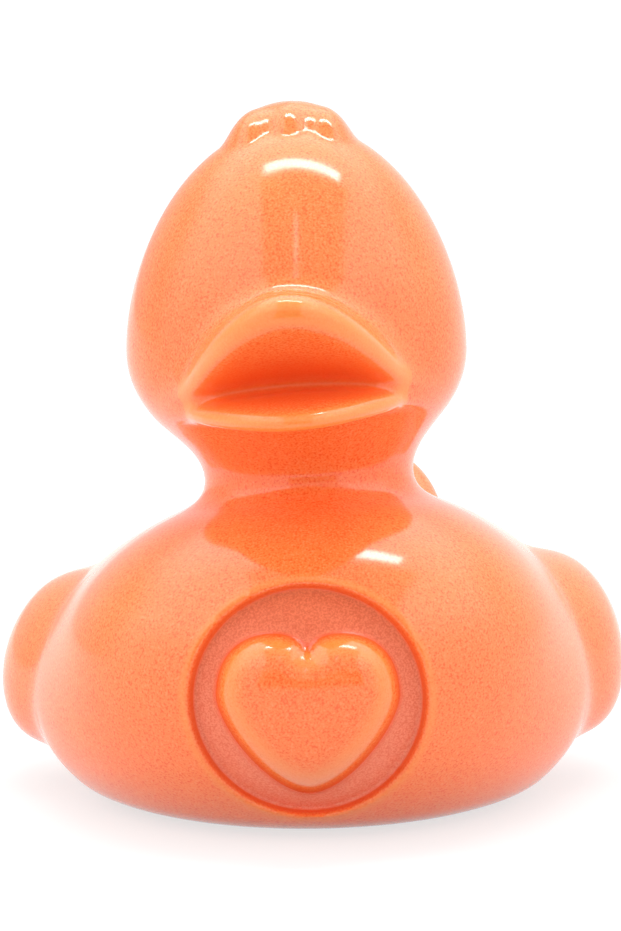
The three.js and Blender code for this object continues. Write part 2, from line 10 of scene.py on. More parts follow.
import bmesh
import bpy
import numpy as np
from mathutils import Matrix, Vector


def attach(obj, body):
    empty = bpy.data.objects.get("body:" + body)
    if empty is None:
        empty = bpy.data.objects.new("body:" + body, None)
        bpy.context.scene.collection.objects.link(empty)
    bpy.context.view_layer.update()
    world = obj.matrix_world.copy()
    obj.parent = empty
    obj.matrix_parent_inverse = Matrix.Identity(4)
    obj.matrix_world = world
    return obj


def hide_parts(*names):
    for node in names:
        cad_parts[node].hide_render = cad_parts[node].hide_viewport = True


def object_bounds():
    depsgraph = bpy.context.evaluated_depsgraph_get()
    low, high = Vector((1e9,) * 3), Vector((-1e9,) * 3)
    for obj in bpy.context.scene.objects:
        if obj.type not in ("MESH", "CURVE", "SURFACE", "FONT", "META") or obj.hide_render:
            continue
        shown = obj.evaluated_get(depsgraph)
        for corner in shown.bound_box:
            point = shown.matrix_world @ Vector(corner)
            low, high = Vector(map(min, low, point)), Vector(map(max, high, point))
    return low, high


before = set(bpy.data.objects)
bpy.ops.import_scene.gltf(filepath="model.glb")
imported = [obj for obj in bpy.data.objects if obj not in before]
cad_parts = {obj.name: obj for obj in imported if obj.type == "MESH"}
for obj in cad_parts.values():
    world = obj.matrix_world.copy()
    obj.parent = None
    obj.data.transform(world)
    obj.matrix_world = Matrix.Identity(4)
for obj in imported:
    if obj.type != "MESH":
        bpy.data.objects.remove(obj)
cad_low, cad_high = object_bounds()
MM = 0.001
print("CAD box in mm:", [round(v / MM, 2) for v in (*cad_low, *cad_high)])

# %% [markdown]
# ## Forms that flow together
# A sculptor would press clay eggs together and smooth the joins with a thumb. Metaballs or a voxel
# remesh could do that, but neither lets a join have a stated radius. Here each form is a distance,
# negative inside, and two distances are blended over a radius in millimetres, so every number is a
# size that can be measured on the duck.

# %% Blends and eggs
TINY = 1e-9
EXAMPLE_RADIUS = 10.0


def join(a, b, radius):
    near = np.maximum(radius - np.abs(a - b), 0) / radius
    return np.minimum(a, b) - near * near * radius / 4


def cut(a, b, radius):
    return -join(-a, b, radius)


def meet(a, b, radius):
    return -join(-a, -b, radius)


def egg(x, y, z, half_x, half_y, half_z):
    px, py, pz = x / half_x, y / half_y, z / half_z
    level = np.sqrt(px * px + py * py + pz * pz)
    slope = np.sqrt((px / half_x) ** 2 + (py / half_y) ** 2 + (pz / half_z) ** 2)
    return level * (level - 1) / np.maximum(slope, TINY)


def turn(u, v, pivot_u, pivot_v, degrees):
    c, s = math.cos(math.radians(degrees)), math.sin(math.radians(degrees))
    du, dv = u - pivot_u, v - pivot_v
    return pivot_u + c * du - s * dv, pivot_v + s * du + c * dv


def ease(value, low, high):
    t = np.clip((value - low) / (high - low), 0, 1)
    return t * t * (3 - 2 * t)


fill = float(-join(0.0, 0.0, EXAMPLE_RADIUS))
print("a join of two touching eggs fills", fill, "mm at a radius of", EXAMPLE_RADIUS, "mm")

# %% [markdown]
# ## Body, breast, neck and tail
# The body is an egg that is flatter below than above, the breast a second egg that pushes forward to
# carry the round recess, and the neck a small one between body and head. The tail is a broad paddle
# that turns up, a little to one side. One side of the back stands higher, as it does on the real duck.

# %% The body's sizes in millimetres and its distance
WALL = 2.2
BODY_HALF_WIDTH, BODY_HALF_LENGTH = 34.0, 31.5
BODY_CENTRE_Y, BODY_EQUATOR_Z = 2.0, 13.0
BODY_RISE, BODY_DROP = 24.6, 19.6
BODY_SKEW = 0.05
BASE_EDGE_RADIUS = 2.8
BREAST_HALF_WIDTH, BREAST_DEPTH, BREAST_HALF_HEIGHT = 26.0, 21.0, 17.5
BREAST_FRONT_Y = BODY_CENTRE_Y - BODY_HALF_LENGTH - 7.5
BREAST_Z = BODY_EQUATOR_Z + 8.5
BREAST_BLEND = 10.0
NECK_HALF_WIDTH, NECK_HALF_HEIGHT = 10.0, 9.0
NECK_Y = BODY_CENTRE_Y - 6.5
NECK_Z = BODY_EQUATOR_Z + BODY_RISE + 3.4
NECK_BLEND = 7.0
TAIL_HALF_WIDTH, TAIL_HALF_LENGTH, TAIL_HALF_THICKNESS = 14.0, 15.0, 5.5
TAIL_X = 2.4
TAIL_Y = BODY_CENTRE_Y + BODY_HALF_LENGTH - 4.5
TAIL_Z = BODY_EQUATOR_Z + 15.0
TAIL_LIFT = 38.0
TAIL_BLEND = 9.0


def torso(x, y, z):
    dz = z - BODY_EQUATOR_Z
    half_height = np.where(dz > 0, BODY_RISE, BODY_DROP)
    hull = egg(x, y - BODY_CENTRE_Y, dz, BODY_HALF_WIDTH, BODY_HALF_LENGTH, half_height)
    breast_y = y - BREAST_FRONT_Y - BREAST_DEPTH
    breast = egg(x, breast_y, z - BREAST_Z, BREAST_HALF_WIDTH, BREAST_DEPTH, BREAST_HALF_HEIGHT)
    neck = egg(x, y - NECK_Y, z - NECK_Z, NECK_HALF_WIDTH, NECK_HALF_WIDTH, NECK_HALF_HEIGHT)
    return join(join(hull, breast, BREAST_BLEND), neck, NECK_BLEND)


def tail(x, y, z):
    ty, tz = turn(y, z, TAIL_Y, TAIL_Z, -TAIL_LIFT)
    halves = TAIL_HALF_WIDTH, TAIL_HALF_LENGTH, TAIL_HALF_THICKNESS
    return egg(x - TAIL_X, ty - TAIL_Y, tz - TAIL_Z, *halves)


print("the breast reaches", -BREAST_FRONT_Y, "mm forward of the mould's zero")

# %% [markdown]
# ## Wings
# Each wing is a pad raised from the flank, narrower behind, and parted into three blunt
# feathers by grooves that deepen towards its rear edge. The grooves are part of the mould, so they
# are cut into the distance and not painted.

# %% Wing pad and feather grooves
WING_HALF_LENGTH, WING_HALF_HEIGHT, WING_THICKNESS = 15.0, 10.6, 8.0
WING_TAPER = 0.25
WING_OUT_X = BODY_HALF_WIDTH + 3.7
WING_Y = BODY_CENTRE_Y + 12.0
WING_Z = BODY_EQUATOR_Z + 3.3
WING_TILT, WING_TOE_IN, WING_LEAN, WING_SKEW = 8.0, 9.0, 20.0, 0.1
WING_BLEND = 4.0
FEATHERS, FEATHER_PITCH, FEATHER_FAN = 3, 5.6, 14.0
GROOVE_DEPTH, GROOVE_HALF_WIDTH = 0.9, 1.1


def feather_grooves(along, up):
    rear = ease(along, 0, WING_HALF_LENGTH)
    depth = 0
    for groove in range(1, FEATHERS):
        place = groove - FEATHERS / 2
        height = place * FEATHER_PITCH
        _, line = turn(along, up, 0, height, -place * FEATHER_FAN)
        depth = depth + GROOVE_DEPTH * rear * np.exp(-(((line - height) / GROOVE_HALF_WIDTH) ** 2))
    return depth


def wing(x, y, z):
    wy, wz = turn(y, z - np.sign(x) * WING_SKEW, WING_Y, WING_Z, -WING_TILT)
    out, along = turn(np.abs(x) - WING_OUT_X + WING_THICKNESS, wy - WING_Y, 0, 0, -WING_TOE_IN)
    out, up = turn(out, wz - WING_Z, 0, 0, -WING_LEAN)
    half_height = WING_HALF_HEIGHT * (1 - WING_TAPER * np.clip(along / WING_HALF_LENGTH, -1, 1))
    pad = egg(out, along, up, WING_THICKNESS, WING_HALF_LENGTH, half_height)
    return pad + feather_grooves(along, up)


print(FEATHERS, "feathers a wing,", FEATHER_PITCH, "mm apart")

# %% [markdown]
# ## Head, bill and tuft
# The head is an egg with full cheeks that draws in towards the crown, and sits a little to one side.
# The bill is an arched lump with a wedge cut from its front, which leaves an open mouth between two
# rounded lips. Three locks of down lie on the crown like combed waves.

# %% The head's sizes and distances
HEAD_HALF_WIDTH, HEAD_HALF_DEPTH = 20.3, 20.5
HEAD_RISE, HEAD_DROP = 27.0, 14.5
HEAD_TAPER, HEAD_TAPER_RISE = 0.045, 14.0
HEAD_Y = NECK_Y - 1.0
HEAD_Z = NECK_Z + HEAD_DROP - 0.3
HEAD_X = -1.35
FACE_Y = HEAD_Y - HEAD_HALF_DEPTH


def skull(x, y, z):
    dz = z - HEAD_Z
    above = np.maximum(dz, 0) ** 2
    draw = 1 - HEAD_TAPER * above / (above + HEAD_TAPER_RISE**2)
    half_height = np.where(dz > 0, HEAD_RISE, HEAD_DROP)
    return egg(x, y - HEAD_Y, dz, draw * HEAD_HALF_WIDTH, draw * HEAD_HALF_DEPTH, half_height)


print("the face lies at", FACE_Y, "mm and the crown at", HEAD_Z + HEAD_RISE, "mm")

# %% The open bill
BILL_HALF_WIDTH = 14.2
BILL_TIP_Y, BILL_ROOT_Y = FACE_Y - 12.5, FACE_Y + 2.0
BILL_ROOF_Z, BILL_ROOF_RAKE, BILL_ROOF_FALL = HEAD_Z + 9.2, 0.1, 11.0
BILL_UNDER_Z = HEAD_Z - 5.7
BILL_LIP_RADIUS, BILL_BLEND = 4.0, 2.5
BILL_ROLL = 3.8
MOUTH_CREASE_Z, MOUTH_ARCH = HEAD_Z - 2.0, 1.5
MOUTH_UPPER_ANGLE, MOUTH_LOWER_ANGLE, MOUTH_DEPTH = 31.5, 5.0, 2.0
MOUTH_RADIUS, MOUTH_LIP_RADIUS = 1.8, 3.0


def bill(x, y, z):
    across = x / BILL_HALF_WIDTH
    sweep = BILL_ROOT_Y - BILL_TIP_Y
    plan = (BILL_TIP_Y + sweep * across**2 - y) / np.hypot(1, 2 * sweep * across / BILL_HALF_WIDTH)
    roof_z = BILL_ROOF_Z + BILL_ROOF_RAKE * (FACE_Y - y) - BILL_ROOF_FALL * across**2
    roof = (z - roof_z) / np.hypot(1, 2 * BILL_ROOF_FALL * across / BILL_HALF_WIDTH)
    lump = meet(meet(plan, roof, BILL_LIP_RADIUS), BILL_UNDER_Z - z, BILL_LIP_RADIUS)
    return np.maximum(lump, y - HEAD_Y)


def mouth(x, y, z):
    forward = FACE_Y + MOUTH_DEPTH - y
    above = z - MOUTH_CREASE_Z + MOUTH_ARCH * (x / BILL_HALF_WIDTH) ** 2
    upper, lower = math.radians(MOUTH_UPPER_ANGLE), math.radians(MOUTH_LOWER_ANGLE)
    palate = above * math.cos(upper) - forward * math.sin(upper)
    tongue = -above * math.cos(lower) - forward * math.sin(lower)
    return meet(palate, tongue, MOUTH_RADIUS)


print("the mouth opens by", MOUTH_UPPER_ANGLE + MOUTH_LOWER_ANGLE, "degrees")

# %% The tuft of down
TUFT_LOCKS, TUFT_PITCH, TUFT_FAN = 3, 3.8, 10.0
LOCK_HALF_WIDTH, LOCK_HALF_LENGTH, LOCK_HEIGHT = 4.2, 8.0, 2.6
LOCK_FLARE = 0.4
LOCK_SIDE_DROP = 0.3
TUFT_X, TUFT_Y = -0.6, HEAD_Y + 2.5
TUFT_BLEND, LOCK_BLEND = 0.8, 2.4
FAR_BELOW = -1e3


def tuft(x, y, z):
    height = np.full_like(x, FAR_BELOW)
    for lock in range(TUFT_LOCKS):
        place = lock - (TUFT_LOCKS - 1) / 2
        lock_x = TUFT_X + place * TUFT_PITCH
        lx, ly = turn(x, y, lock_x, TUFT_Y, -place * TUFT_FAN)
        along = (ly - TUFT_Y) / LOCK_HALF_LENGTH
        half_width = LOCK_HALF_WIDTH * (1 + LOCK_FLARE * np.clip(along, -1, 1))
        off = ((lx - lock_x) / half_width) ** 2 + along**4
        peak = LOCK_HEIGHT - abs(place) * LOCK_SIDE_DROP
        height = -join(-height, -peak * (1 - off), LOCK_BLEND)
    return np.where(z < HEAD_Z, 0, -join(-height, 0, TUFT_BLEND))


print(TUFT_LOCKS, "locks of down,", LOCK_HEIGHT, "mm high")

# %% [markdown]
# ## The chest relief
# A round recess is sunk in the breast and a heart stands up from its floor. Both are heights over
# the plane of the recess, so they follow the chest's curve as a mould cut with a round tool would.
# A heart's edge is four smooth curves. The distance to that outline gives its pillowed side.

# %% Recess and heart
DISC_RADIUS, DISC_ASPECT = 13.5, 0.955
DISC_DEPTH, DISC_EDGE = 1.5, 0.75
DISC_Z = BREAST_Z - 2.4
DISC_TILT = 13.0
HEART_WIDTH = 2 * (DISC_RADIUS - 2.8)
HEART_HEIGHT = 0.9 * HEART_WIDTH
HEART_CLEFT, HEART_DROP = 1.8, 1.7
HEART_RISE, HEART_ROUND, HEART_FILLET = 3.2, 5.0, 0.6
HEART_SWELL = 2.5
HEART_STEPS = 40
HEART_SHOULDER = 0.2
LOBE_HANDLES = np.array([(0.15, 1.1), (1.0, 1.15)])
FLANK_HANDLES = np.array([(0.95, -0.25), (0.4, -1.0)])


def bezier(a, b, c, d):
    t = np.linspace(0, 1, HEART_STEPS, endpoint=False)[:, None]
    s = 1 - t
    return s**3 * a + 3 * s * s * t * b + 3 * s * t * t * c + t**3 * d


def heart_outline():
    half = np.array((HEART_WIDTH, HEART_HEIGHT)) / 2
    w, h = half
    top, side, tip = np.array([(0, h - HEART_CLEFT), (w, HEART_SHOULDER * h), (0, -h)])
    lobe = bezier(top, *(LOBE_HANDLES * half), side)
    flank = bezier(side, *(FLANK_HANDLES * half), tip)
    right = np.concatenate([lobe, flank, tip[None]])
    left = right[-2:0:-1] * (-1, 1)
    return np.concatenate([right, left])


HEART = heart_outline()
print("heart outline:", len(HEART), "points,", HEART_WIDTH, "mm wide")


# %% Heights over the recess
def on_disc(x, y, z):
    _, v = turn(y, z, BREAST_FRONT_Y, DISC_Z, DISC_TILT)
    return x, (v - DISC_Z) / DISC_ASPECT


def recess(x, y, z, edge):
    u, v = on_disc(x, y, z)
    return np.where(y > HEAD_Y, 0, DISC_DEPTH * ease(DISC_RADIUS - np.hypot(u, v), -edge, edge))


def heart_distance(u, v):
    nearest = np.full(u.shape, np.inf)
    inside = np.zeros(u.shape, bool)
    for a, b in zip(HEART, np.roll(HEART, -1, 0)):
        e = b - a
        t = np.clip(((u - a[0]) * e[0] + (v - a[1]) * e[1]) / (e @ e), 0, 1)
        nearest = np.minimum(nearest, np.hypot(u - a[0] - t * e[0], v - a[1] - t * e[1]))
        if a[1] != b[1]:
            crosses = ((a[1] > v) != (b[1] > v)) & (u < a[0] + (v - a[1]) / e[1] * e[0])
            inside ^= crosses
    return np.where(inside, -nearest, nearest)


def heart(x, y, z, inset):
    u, v = on_disc(x, y, z)
    rise = np.zeros(x.shape)
    on = (y < HEAD_Y) & (np.hypot(u, v) < DISC_RADIUS)
    depth = -join(heart_distance(u[on], v[on] + HEART_DROP) + inset, 0, HEART_FILLET)
    rise[on] = HEART_RISE * (1 - (1 - np.clip(depth / HEART_ROUND, 0, 1)) ** HEART_SWELL)
    return rise


print("the heart stands", round(HEART_RISE - DISC_DEPTH, 2), "mm above the chest")


# %% The whole duck and its hollow
def plain_form(x, y, z, chest_drop):
    bz = z - BODY_SKEW * x * z / NECK_Z
    d = join(torso(x, y, bz), tail(x, y, bz), TAIL_BLEND) + chest_drop
    d = join(d, skull(x - HEAD_X, y, z), NECK_BLEND)
    return join(d, wing(x, y, bz), WING_BLEND)


def duck(x, y, z):
    hx, hz = turn(x - HEAD_X, z, 0, MOUTH_CREASE_Z, -BILL_ROLL)
    d = plain_form(x, y, z, recess(x, y, z, DISC_EDGE) - heart(x, y, z, 0))
    d = join(d, bill(hx, y, hz), BILL_BLEND)
    d = cut(d, mouth(hx, y, hz), MOUTH_LIP_RADIUS) - tuft(x - HEAD_X, y, z)
    return meet(d, -z, BASE_EDGE_RADIUS)


def hollow(x, y, z):
    d = plain_form(x, y, z, recess(x, y, z, WALL) - heart(x, y, z, WALL)) + WALL
    return meet(d, WALL - z, BASE_EDGE_RADIUS)


print("wall thickness", WALL, "mm")

# %% [markdown]
# ## From distance to mesh
# The distance is read on a grid, finer across the bill and the chest, and finest along the rim of
# the recess. Each cell that the surface passes through gets one vertex, and neighbouring vertices make
# quads. The vertices are then evened out and slid down the slope of the distance until they lie on
# the surface, so reflections run smoothly over them. A subdivided cage would need hundreds of
# hand-placed points for this.


# %% A net of quads on a distance
def grid_lines(*stretches):
    lines = []
    for low, high, cell in stretches:
        lines.append(np.linspace(low, high, math.ceil((high - low) / cell), endpoint=False))
    return np.concatenate([*lines, [high]])


CORNERS = np.array([(i, j, k) for i in (0, 1) for j in (0, 1) for k in (0, 1)])


def quad_net(distance, *lines):
    value = distance(*np.meshgrid(*lines, indexing="ij"))
    inside = value < 0
    count = np.zeros(np.array(inside.shape) - 1, int)
    for i, j, k in CORNERS:
        count += inside[i : i - 1 or None, j : j - 1 or None, k : k - 1 or None]
    crossed = (count > 0) & (count < len(CORNERS))
    cells = np.argwhere(crossed)
    number = np.full(crossed.shape, -1)
    number[crossed] = np.arange(len(cells))
    points, hits = np.zeros((len(cells), 3)), np.zeros((len(cells), 1))
    for corner in CORNERS:
        for axis in range(3):
            if corner[axis]:
                continue
            a = cells + corner
            b = a + np.eye(3, dtype=int)[axis]
            va, vb = value[tuple(a.T)], value[tuple(b.T)]
            differ = (va < 0) != (vb < 0)
            share = np.where(differ, va / np.where(differ, va - vb, 1), 0)[:, None]
            pa = np.stack([lines[n][a[:, n]] for n in range(3)], 1)
            pb = np.stack([lines[n][b[:, n]] for n in range(3)], 1)
            points += np.where(differ[:, None], pa + share * (pb - pa), 0)
            hits += differ[:, None]
    quads = []
    for axis in range(3):
        step = np.eye(3, dtype=int)
        near = inside[tuple(slice(0, -1) if n == axis else slice(1, -1) for n in range(3))]
        far = inside[tuple(slice(1, None) if n == axis else slice(1, -1) for n in range(3))]
        at = np.argwhere(near != far) + np.where(np.arange(3) == axis, 0, 1)
        u, v = step[(axis + 1) % 3], step[(axis + 2) % 3]
        ring = np.stack([number[tuple((at - o).T)] for o in (u + v, v, 0 * u, u)], 1)
        leaves = inside[tuple(at.T)]
        quads.append(np.where(leaves[:, None], ring, ring[:, ::-1]))
    return points / hits, np.concatenate(quads)


print("net ready:", len(CORNERS), "corners a cell")

# %% Sliding a net onto its surface
SLOPE_STEP, LEAST_SLOPE = 0.01, 0.1
EVEN_PASSES, SLIDES, LAST_SLIDES = 3, 2, 3


def slope(distance, p):
    x, y, z = p.T
    h = SLOPE_STEP
    return np.stack(
        [
            distance(x + h, y, z) - distance(x - h, y, z),
            distance(x, y + h, z) - distance(x, y - h, z),
            distance(x, y, z + h) - distance(x, y, z - h),
        ],
        1,
    ) / (2 * h)


def settle(distance, p, steps):
    for _ in range(steps):
        g = slope(distance, p)
        p = p - g * (distance(*p.T) / np.maximum((g * g).sum(1), LEAST_SLOPE))[:, None]
    return p


def even_out(p, quads):
    pairs = np.concatenate([quads[:, [n, (n + 1) % 4]] for n in range(4)])
    degree = np.bincount(pairs[:, 0], minlength=len(p))
    mean = np.stack([np.bincount(pairs[:, 0], p[pairs[:, 1], n], len(p)) for n in range(3)], 1)
    return 0.5 * p + 0.5 * mean / degree[:, None]


def skin(distance, lines):
    p, quads = quad_net(distance, *lines)
    for _ in range(EVEN_PASSES):
        p = settle(distance, even_out(p, quads), SLIDES)
    return settle(distance, p, LAST_SLIDES), quads


print("vertices are slid along a slope read over", 2 * SLOPE_STEP, "mm")

# %% The outer skin and the hollow
MARGIN = 3.0
WIDE = WING_OUT_X + MARGIN
BROAD_CELL, FINE_CELL, RIM_CELL, HOLLOW_CELL = 0.8, 0.5, 0.3, 1.6
CROWN_Z = HEAD_Z + HEAD_RISE + LOCK_HEIGHT
STERN_Y = TAIL_Y + TAIL_HALF_LENGTH
JAW_Y = FACE_Y + 2 * MOUTH_DEPTH
RIM_INNER_X, RIM_OUTER_X = 11, 15
RIM_LOW_Z, RIM_HIGH_Z, CHEST_TOP_Z, BILL_FOOT_Z, BILL_TOP_Z = 3, 11, 34, 48, 67
outer_lines = (
    grid_lines(
        (-WIDE, -RIM_OUTER_X, BROAD_CELL),
        (-RIM_OUTER_X, -RIM_INNER_X, RIM_CELL),
        (-RIM_INNER_X, RIM_INNER_X, FINE_CELL),
        (RIM_INNER_X, RIM_OUTER_X, RIM_CELL),
        (RIM_OUTER_X, WIDE, BROAD_CELL),
    ),
    grid_lines((BILL_TIP_Y - MARGIN, JAW_Y, FINE_CELL), (JAW_Y, STERN_Y + MARGIN, BROAD_CELL)),
    grid_lines(
        (-MARGIN, RIM_LOW_Z, FINE_CELL),
        (RIM_LOW_Z, RIM_HIGH_Z, RIM_CELL),
        (RIM_HIGH_Z, CHEST_TOP_Z, FINE_CELL),
        (CHEST_TOP_Z, BILL_FOOT_Z, BROAD_CELL),
        (BILL_FOOT_Z, BILL_TOP_Z, FINE_CELL),
        (BILL_TOP_Z, CROWN_Z + MARGIN, BROAD_CELL),
    ),
)
hollow_lines = (
    grid_lines((-WIDE, WIDE, HOLLOW_CELL)),
    grid_lines((BREAST_FRONT_Y - MARGIN, STERN_Y + MARGIN, HOLLOW_CELL)),
    grid_lines((-MARGIN, CROWN_Z, HOLLOW_CELL)),
)
outer_points, outer_quads = skin(duck, outer_lines)
hollow_points, hollow_quads = skin(hollow, hollow_lines)
print("outer quads", len(outer_quads), "hollow quads", len(hollow_quads))

# %% [markdown]
# ## Hollow skin and air hole
# Slush-moulded toys breathe through a small hole in the base, where the vinyl was poured out and
# the mould's plug sat. The hollow and a round punch are taken from the outer form with Boolean
# modifiers, because both are closed solids and the cut edges stay true circles.


# %% The outside and the core of the mould
def plain_mesh(name, points, faces):
    mesh = bpy.data.meshes.new(name)
    mesh.from_pydata(points.tolist(), [], faces.tolist())
    mesh.validate()
    obj = bpy.data.objects.new(name, mesh)
    bpy.context.scene.collection.objects.link(obj)
    return obj


to_frame = Vector(((cad_low + cad_high) / 2)) / MM
mould_middle = (outer_points.min(0) + outer_points.max(0)) / 2
shift = np.array([to_frame.x - mould_middle[0], to_frame.y - mould_middle[1], 0])
duck_skin = plain_mesh("duck_skin", (outer_points + shift) * MM, outer_quads)
core = plain_mesh("mould_core", (hollow_points + shift) * MM, hollow_quads)
print("moved into the frame by", shift.round(3), "mm")

# %% Punch the air hole
AIR_HOLE_RADIUS, PUNCH_SIDES, PUNCH_LENGTH = 2.5, 64, 4 * WALL
SHARP_ANGLE = 60
punch_mesh = bpy.data.meshes.new("air_hole_punch")
bm = bmesh.new()
bmesh.ops.create_cone(
    bm,
    cap_ends=True,
    segments=PUNCH_SIDES,
    radius1=AIR_HOLE_RADIUS * MM,
    radius2=AIR_HOLE_RADIUS * MM,
    depth=PUNCH_LENGTH * MM,
    matrix=Matrix.Translation((shift[0] * MM, (BODY_CENTRE_Y + shift[1]) * MM, WALL / 2 * MM)),
)
bm.to_mesh(punch_mesh)
bm.free()
punch = bpy.data.objects.new("air_hole_punch", punch_mesh)
bpy.context.scene.collection.objects.link(punch)

for tool in (core, punch):
    taken = duck_skin.modifiers.new(tool.name, "BOOLEAN")
    taken.object = tool
    taken.operation = "DIFFERENCE"
    taken.solver = "MANIFOLD"
cut_skin = duck_skin.evaluated_get(bpy.context.evaluated_depsgraph_get())
skin_mesh = bpy.data.meshes.new_from_object(cut_skin)
duck_skin.modifiers.clear()
duck_skin.data = skin_mesh
skin_mesh.name = "duck_skin"
for tool in (core, punch):
    bpy.data.objects.remove(tool)
skin_mesh.shade_smooth()
skin_mesh.set_sharp_from_angle(angle=math.radians(SHARP_ANGLE))
triangles = sum(len(p.vertices) - 2 for p in skin_mesh.polygons)
print("duck skin:", len(skin_mesh.vertices), "vertices,", triangles, "triangles")

# %% [markdown]
# ## Marks for the finish and the painted light
# On the real duck only the floor of the recess is matt and grainy: that part of the mould was
# blasted, and the rest polished. Soft vinyl also lets light through, so thin edges such as the lips
# look golden, and the mouth, where light bounces about, looks redder; here both are painted into the
# colour, as a painted glow on the lips and as painted shade and bounced light in the mouth. Painting
# this by hand would not survive a change of shape. Numbers stored on each vertex say where the
# breast, the heart, the lips and the throat are, so the material follows the relief exactly.

# %% Store the marks on the vertices
ON_SKIN = 0.2
LIP_START, LIP_END = (0.1, 0.8), (2.0, 4.0)
THROAT_RUN = FACE_Y - 8, FACE_Y - 1
place = np.empty(len(skin_mesh.vertices) * 3)
skin_mesh.vertices.foreach_get("co", place)
at = place.reshape(-1, 3) / MM - shift
on_skin = np.abs(duck(*at.T)) < ON_SKIN
breast = (on_skin & (at[:, 1] < HEAD_Y)).astype(float)
heart_rise = breast * heart(*at.T, 0) / HEART_RISE
bill_x, bill_z = turn(at[:, 0] - HEAD_X, at[:, 2], 0, MOUTH_CREASE_Z, -BILL_ROLL)
gape = mouth(bill_x, at[:, 1], bill_z)
on_bill = on_skin & (at[:, 1] < JAW_Y)
out_of_mouth = ease(gape, *LIP_START)
# The lips mark says where the painted glow goes.
lips = on_bill * out_of_mouth * (1 - ease(gape, *LIP_END))
# The throat mark says where painted shade and bounced light go.
throat = on_bill * (1 - out_of_mouth) * ease(at[:, 1], *THROAT_RUN)
marks = {"breast": breast, "heart_rise": heart_rise, "lips": lips, "throat": throat}
for name, values in marks.items():
    attribute = skin_mesh.attributes.new(name, "FLOAT", "POINT")
    attribute.data.foreach_set("value", values)
print("vertices marked:", {name: int((values > 0).sum()) for name, values in marks.items()})

# %% [markdown]
# ## The vinyl
# Pearl pigment in the vinyl shows as a very fine speckle under a polished surface. The colour is a
# coral orange with two noises on it, one a soft cloudiness and one the speckle, about a quarter of a
# millimetre across. A little subsurface scattering softens the shading as soft vinyl does. The polish
# varies slightly too, and a faint ripple keeps reflections from looking like glass.

# %% Vinyl colours
CORAL = (0.98, 0.214, 0.051, 1)
DEEP_CORAL = (0.9, 0.112, 0.019, 1)
PEARL = (1.0, 0.355, 0.145, 1)
# Painted shade: a deeper red for the recess wall and the heart's foot, where shade falls.
CREASE_SHADE_RED = (0.8, 0.082, 0.016, 1)
# Painted light: a painted glow on the thin lips and a painted highlight on the recess rim and the
# heart's rim.
EDGE_LIGHT_GOLD = (0.99, 0.306, 0.06, 1)
# Painted shade and bounced light for inside the mouth.
THROAT_BOUNCE_RED = (1.0, 0.17, 0.028, 1)
# Painted light and shade on the matt recess floor: the first of each pair is lighter, at its foot; the
# second is darker, at its top.
FLOOR_LIT_FOOT, FLOOR_SHADED_TOP = (1.0, 0.32, 0.195, 1), (0.75, 0.133, 0.032, 1)
GRAIN_LIT_FOOT, GRAIN_SHADED_TOP = (0.92, 0.2, 0.106, 1), (0.61, 0.086, 0.013, 1)
VINYL_IOR = 1.55
GLOW_WEIGHT, GLOW_RADIUS, GLOW_SCALE = 0.2, (1.0, 0.3, 0.1), 0.0012

vinyl = bpy.data.materials.new("coral_vinyl")
vinyl.use_nodes = True
nodes, links = vinyl.node_tree.nodes, vinyl.node_tree.links
shader = nodes["Principled BSDF"]
shader.inputs["IOR"].default_value = VINYL_IOR
shader.inputs["Subsurface Weight"].default_value = GLOW_WEIGHT
shader.inputs["Subsurface Radius"].default_value = GLOW_RADIUS
shader.inputs["Subsurface Scale"].default_value = GLOW_SCALE
coordinates = nodes.new("ShaderNodeTexCoord")
print("light goes", GLOW_SCALE / MM, "mm into the vinyl")


# %% Small helpers for nodes
def mark(name):
    node = nodes.new("ShaderNodeAttribute")
    node.attribute_name = name
    return node.outputs["Fac"]


def noise(scale, detail):
    node = nodes.new("ShaderNodeTexNoise")
    node.inputs["Scale"].default_value = scale
    node.inputs["Detail"].default_value = detail
    links.new(coordinates.outputs["Object"], node.inputs["Vector"])
    return node.outputs["Fac"]


def spread(value, start, end, low=0, high=1):
    node = nodes.new("ShaderNodeMapRange")
    settings = {"From Min": start, "From Max": end, "To Min": low, "To Max": high}
    for name, number in settings.items():
        node.inputs[name].default_value = number
    links.new(value, node.inputs["Value"])
    return node.outputs["Result"]


def maths(operation, a, b=None):
    node = nodes.new("ShaderNodeMath")
    node.operation = operation
    for socket, value in zip(node.inputs, (a, b)):
        if isinstance(value, (int, float)):
            socket.default_value = value
        elif value is not None:
            links.new(value, socket)
    return node.outputs[0]


def times(a, b):
    return maths("MULTIPLY", a, b)


def mix_colour(factor, a, b):
    node = nodes.new("ShaderNodeMix")
    node.data_type = "RGBA"
    links.new(factor, node.inputs["Factor"])
    for name, colour in (("A", a), ("B", b)):
        socket = next(s for s in node.inputs if s.name == name and s.type == "RGBA")
        if isinstance(colour, tuple):
            socket.default_value = colour
        else:
            links.new(colour, socket)
    return next(s for s in node.outputs if s.type == "RGBA")


def mix_number(factor, a, b):
    node = nodes.new("ShaderNodeMix")
    node.data_type = "FLOAT"
    links.new(factor, node.inputs["Factor"])
    links.new(a, node.inputs["A"])
    links.new(b, node.inputs["B"])
    return node.outputs["Result"]


def vector_maths(operation, a, b):
    node = nodes.new("ShaderNodeVectorMath")
    node.operation = operation
    links.new(a, node.inputs[0])
    node.inputs[1].default_value = b
    return node.outputs


print("helpers write into:", vinyl.name)

# %% [markdown]
# ## Rings of colour round the chest relief
# A vertex colour would look ragged along the round rim, because the mesh does not follow it. So the
# distance from the middle of the recess is worked out in the material, in millimetres, and the
# painted highlight on the rim's golden lip, the painted shade on its red wall and the matt floor are
# bands of that distance. The heart's own bands, painted shade at its foot and a painted highlight
# round its rim, come from how far it has risen.

